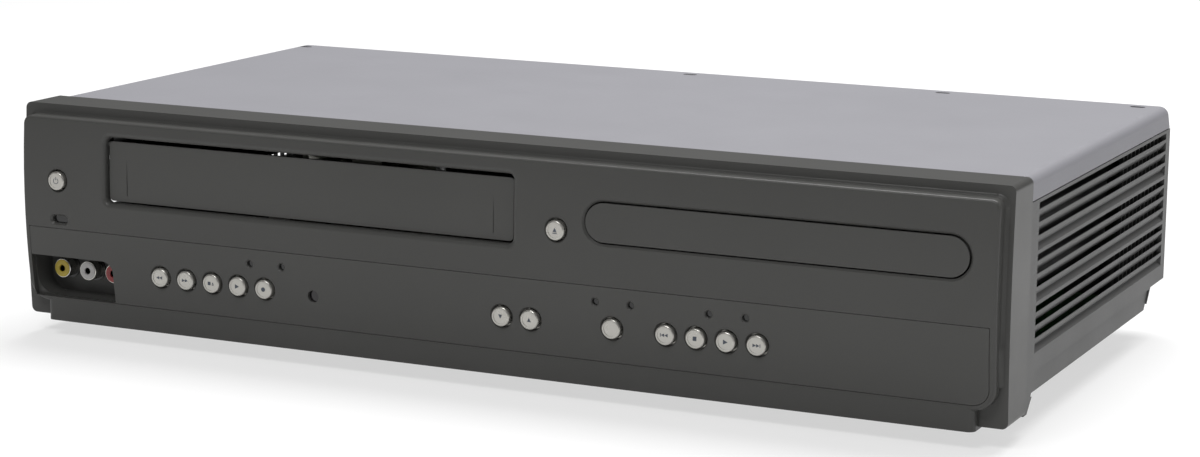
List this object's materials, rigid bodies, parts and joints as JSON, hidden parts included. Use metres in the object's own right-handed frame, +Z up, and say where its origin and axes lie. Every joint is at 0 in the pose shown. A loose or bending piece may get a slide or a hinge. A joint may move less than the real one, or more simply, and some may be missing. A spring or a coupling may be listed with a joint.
{
  "type": "dvd vcr combo player",
  "caption": "Grey tabletop deck with a hinged cassette door on the left, a sliding disc tray on the right and push keys below.",
  "frame": {"origin": "middle of the part, on the surface it stands on", "axes": "+X to the viewer's right along the front, +Y to the back, +Z up; the front faces -Y"},
  "size_m": [0.435, 0.2384, 0.0995],
  "materials": {
    "paint": "satin grey paint",
    "dark_face": "dark grey satin moulding",
    "silver_cap": "silver paint on plastic",
    "grey_moulding": "mid grey satin moulding",
    "clear_lens": "frosted translucent lens",
    "yellow": "yellow plastic",
    "white": "white plastic",
    "red": "red plastic",
    "board": "green circuit board",
    "plated": "plated steel",
    "steel": "bright steel",
    "alloy": "turned alloy",
    "black": "black moulding",
    "foot_rubber": "black rubber",
    "roller_rubber": "ground rubber",
    "cream": "cream acetal",
    "dark_steel": "blackened steel"
  },
  "bodies": {
    "chassis": {"front_bezel": "dark_face", "control_panel": "dark_face", "indicator_lenses": "clear_lens", "ir_window": "black", "front_video_jack": "yellow", "front_audio_left_jack": "white", "front_audio_right_jack": "red", "front_board": "board", "chassis_tub": "grey_moulding", "top_cover": "paint", "rear_panel": "plated", "rear_av_jacks": "black", "tuner": "plated", "cord_gland": "black", "feet": "foot_rubber", "screws": "steel", "main_board": "board", "power_board": "board", "deck_plate": "plated", "carrier_brackets": "dark_steel", "head_drum_lower": "alloy", "capstan_motor": "plated", "tape_heads": "steel", "loading_motor": "plated", "loader_frame": "black", "clamp_bridge": "plated"},
    "door": {"cassette_door": "dark_face"},
    "slider": {"carrier_slider": "dark_steel"},
    "carrier": {"cassette_carrier": "dark_steel"},
    "drum": {"head_drum_upper": "alloy"},
    "capstan": {"capstan": "steel"},
    "pinch_arm": {"pinch_arm": "plated"},
    "pinch_roller": {"pinch_roller": "roller_rubber"},
    "supply_reel": {"supply_reel_table": "cream"},
    "takeup_reel": {"takeup_reel_table": "cream"},
    "guides": {"tape_guides": "steel"},
    "tray": {"disc_tray": "black", "tray_front": "dark_face"},
    "tray_gear": {"tray_gear": "cream"},
    "traverse": {"traverse_chassis": "black", "spindle_motor": "plated", "sled_rod": "steel"},
    "turntable": {"turntable": "black"},
    "sled": {"pickup_sled": "black"},
    "lead_screw": {"lead_screw": "steel"},
    "clamper": {"clamper_disc": "black"},
    "standby_key": {"standby_button": "silver_cap"},
    "open_close_key": {"open_close_button": "silver_cap"},
    "rewind_key": {"rewind_button": "silver_cap"},
    "fast_forward_key": {"fast_forward_button": "silver_cap"},
    "stop_eject_key": {"stop_eject_button": "silver_cap"},
    "tape_play_key": {"tape_play_button": "silver_cap"},
    "record_key": {"record_button": "silver_cap"},
    "tracking_down_key": {"tracking_down_button": "silver_cap"},
    "tracking_up_key": {"tracking_up_button": "silver_cap"},
    "source_key": {"source_button": "silver_cap"},
    "previous_key": {"previous_button": "silver_cap"},
    "disc_stop_key": {"disc_stop_button": "silver_cap"},
    "disc_play_key": {"disc_play_button": "silver_cap"},
    "next_key": {"next_button": "silver_cap"}
  },
  "joints": [
    {"name": "door_swing", "type": "hinge", "parent": "chassis", "child": "door", "pos_m": [-0.0776, -0.11308, 0.0856], "axis": [1, 0, 0], "range_deg": [0, 90], "stiffness_Nm_per_rad": 0.002, "springref_deg": -22.92},
    {"name": "carrier_slide", "type": "slide", "parent": "chassis", "child": "slider", "axis": [0, 1, 0], "range_m": [0, 0.022]},
    {"name": "carrier_drop", "type": "slide", "parent": "slider", "child": "carrier", "axis": [0, 0, -1], "range_m": [0, 0.02]},
    {"name": "drum_spin", "type": "hinge", "parent": "chassis", "child": "drum", "pos_m": [-0.0776, 0.0559, 0.0355], "axis": [0.0958, 0, 0.9954], "continuous": true},
    {"name": "capstan_spin", "type": "hinge", "parent": "chassis", "child": "capstan", "pos_m": [-0.015, 0.0279, 0.0315], "axis": [0, 0, 1], "continuous": true},
    {"name": "pinch_swing", "type": "hinge", "parent": "chassis", "child": "pinch_arm", "pos_m": [0.01, 0.0429, 0.0465], "axis": [0, 0, 1], "range_deg": [-25, 0]},
    {"name": "roller_spin", "type": "hinge", "parent": "pinch_arm", "child": "pinch_roller", "pos_m": [0.00082, 0.01614, 0.0515], "axis": [0, 0, 1], "continuous": true},
    {"name": "supply_reel_spin", "type": "hinge", "parent": "chassis", "child": "supply_reel", "pos_m": [-0.1236, -0.0341, 0.0365], "axis": [0, 0, 1], "continuous": true},
    {"name": "takeup_reel_spin", "type": "hinge", "parent": "chassis", "child": "takeup_reel", "pos_m": [-0.0316, -0.0341, 0.0365], "axis": [0, 0, 1], "continuous": true},
    {"name": "tape_loading", "type": "slide", "parent": "chassis", "child": "guides", "axis": [0, 1, 0], "range_m": [0, 0.038]},
    {"name": "tray_slide", "type": "slide", "parent": "chassis", "child": "tray", "axis": [0, -1, 0], "range_m": [0, 0.143]},
    {"name": "tray_gear_spin", "type": "hinge", "parent": "chassis", "child": "tray_gear", "pos_m": [0.07485, -0.0961, 0.06], "axis": [0, 0, 1], "range_deg": [0, 781.8]},
    {"name": "traverse_tilt", "type": "hinge", "parent": "chassis", "child": "traverse", "pos_m": [0.12625, 0.0429, 0.0535], "axis": [1, 0, 0], "range_deg": [0, 6]},
    {"name": "turntable_spin", "type": "hinge", "parent": "traverse", "child": "turntable", "pos_m": [0.12625, -0.0371, 0.06], "axis": [0, 0, 1], "continuous": true},
    {"name": "sled_slide", "type": "slide", "parent": "traverse", "child": "sled", "axis": [0, 1, 0], "range_m": [0, 0.033]},
    {"name": "lead_screw_spin", "type": "hinge", "parent": "traverse", "child": "lead_screw", "pos_m": [0.15225, 0.0109, 0.06], "axis": [0, 1, 0], "range_deg": [0, 992]},
    {"name": "clamper_spin", "type": "hinge", "parent": "chassis", "child": "clamper", "pos_m": [0.12625, -0.0371, 0.08], "axis": [0, 0, 1], "continuous": true},
    {"name": "standby_press", "type": "slide", "parent": "chassis", "child": "standby_key", "axis": [0, 1, 0], "range_m": [0, 0.0008], "stiffness_N_per_m": 250, "springref_m": -0.0004},
    {"name": "open_close_press", "type": "slide", "parent": "chassis", "child": "open_close_key", "axis": [0, 1, 0], "range_m": [0, 0.0008], "stiffness_N_per_m": 250, "springref_m": -0.0004},
    {"name": "rewind_press", "type": "slide", "parent": "chassis", "child": "rewind_key", "axis": [0, 1, 0], "range_m": [0, 0.0008], "stiffness_N_per_m": 250, "springref_m": -0.0004},
    {"name": "fast_forward_press", "type": "slide", "parent": "chassis", "child": "fast_forward_key", "axis": [0, 1, 0], "range_m": [0, 0.0008], "stiffness_N_per_m": 250, "springref_m": -0.0004},
    {"name": "stop_eject_press", "type": "slide", "parent": "chassis", "child": "stop_eject_key", "axis": [0, 1, 0], "range_m": [0, 0.0008], "stiffness_N_per_m": 250, "springref_m": -0.0004},
    {"name": "tape_play_press", "type": "slide", "parent": "chassis", "child": "tape_play_key", "axis": [0, 1, 0], "range_m": [0, 0.0008], "stiffness_N_per_m": 250, "springref_m": -0.0004},
    {"name": "record_press", "type": "slide", "parent": "chassis", "child": "record_key", "axis": [0, 1, 0], "range_m": [0, 0.0008], "stiffness_N_per_m": 250, "springref_m": -0.0004},
    {"name": "tracking_down_press", "type": "slide", "parent": "chassis", "child": "tracking_down_key", "axis": [0, 1, 0], "range_m": [0, 0.0008], "stiffness_N_per_m": 250, "springref_m": -0.0004},
    {"name": "tracking_up_press", "type": "slide", "parent": "chassis", "child": "tracking_up_key", "axis": [0, 1, 0], "range_m": [0, 0.0008], "stiffness_N_per_m": 250, "springref_m": -0.0004},
    {"name": "source_press", "type": "slide", "parent": "chassis", "child": "source_key", "axis": [0, 1, 0], "range_m": [0, 0.0008], "stiffness_N_per_m": 250, "springref_m": -0.0004},
    {"name": "previous_press", "type": "slide", "parent": "chassis", "child": "previous_key", "axis": [0, 1, 0], "range_m": [0, 0.0008], "stiffness_N_per_m": 250, "springref_m": -0.0004},
    {"name": "disc_stop_press", "type": "slide", "parent": "chassis", "child": "disc_stop_key", "axis": [0, 1, 0], "range_m": [0, 0.0008], "stiffness_N_per_m": 250, "springref_m": -0.0004},
    {"name": "disc_play_press", "type": "slide", "parent": "chassis", "child": "disc_play_key", "axis": [0, 1, 0], "range_m": [0, 0.0008], "stiffness_N_per_m": 250, "springref_m": -0.0004},
    {"name": "next_press", "type": "slide", "parent": "chassis", "child": "next_key", "axis": [0, 1, 0], "range_m": [0, 0.0008], "stiffness_N_per_m": 250, "springref_m": -0.0004}
  ],
  "couplings": [
    {"joint": "tray_gear_spin", "follows": "tray_slide", "rad_per_m": 95.238},
    {"joint": "lead_screw_spin", "follows": "sled_slide", "rad_per_m": 523.6},
    {"joint": "clamper_spin", "follows": "turntable_spin", "ratio": 1}
  ]
}
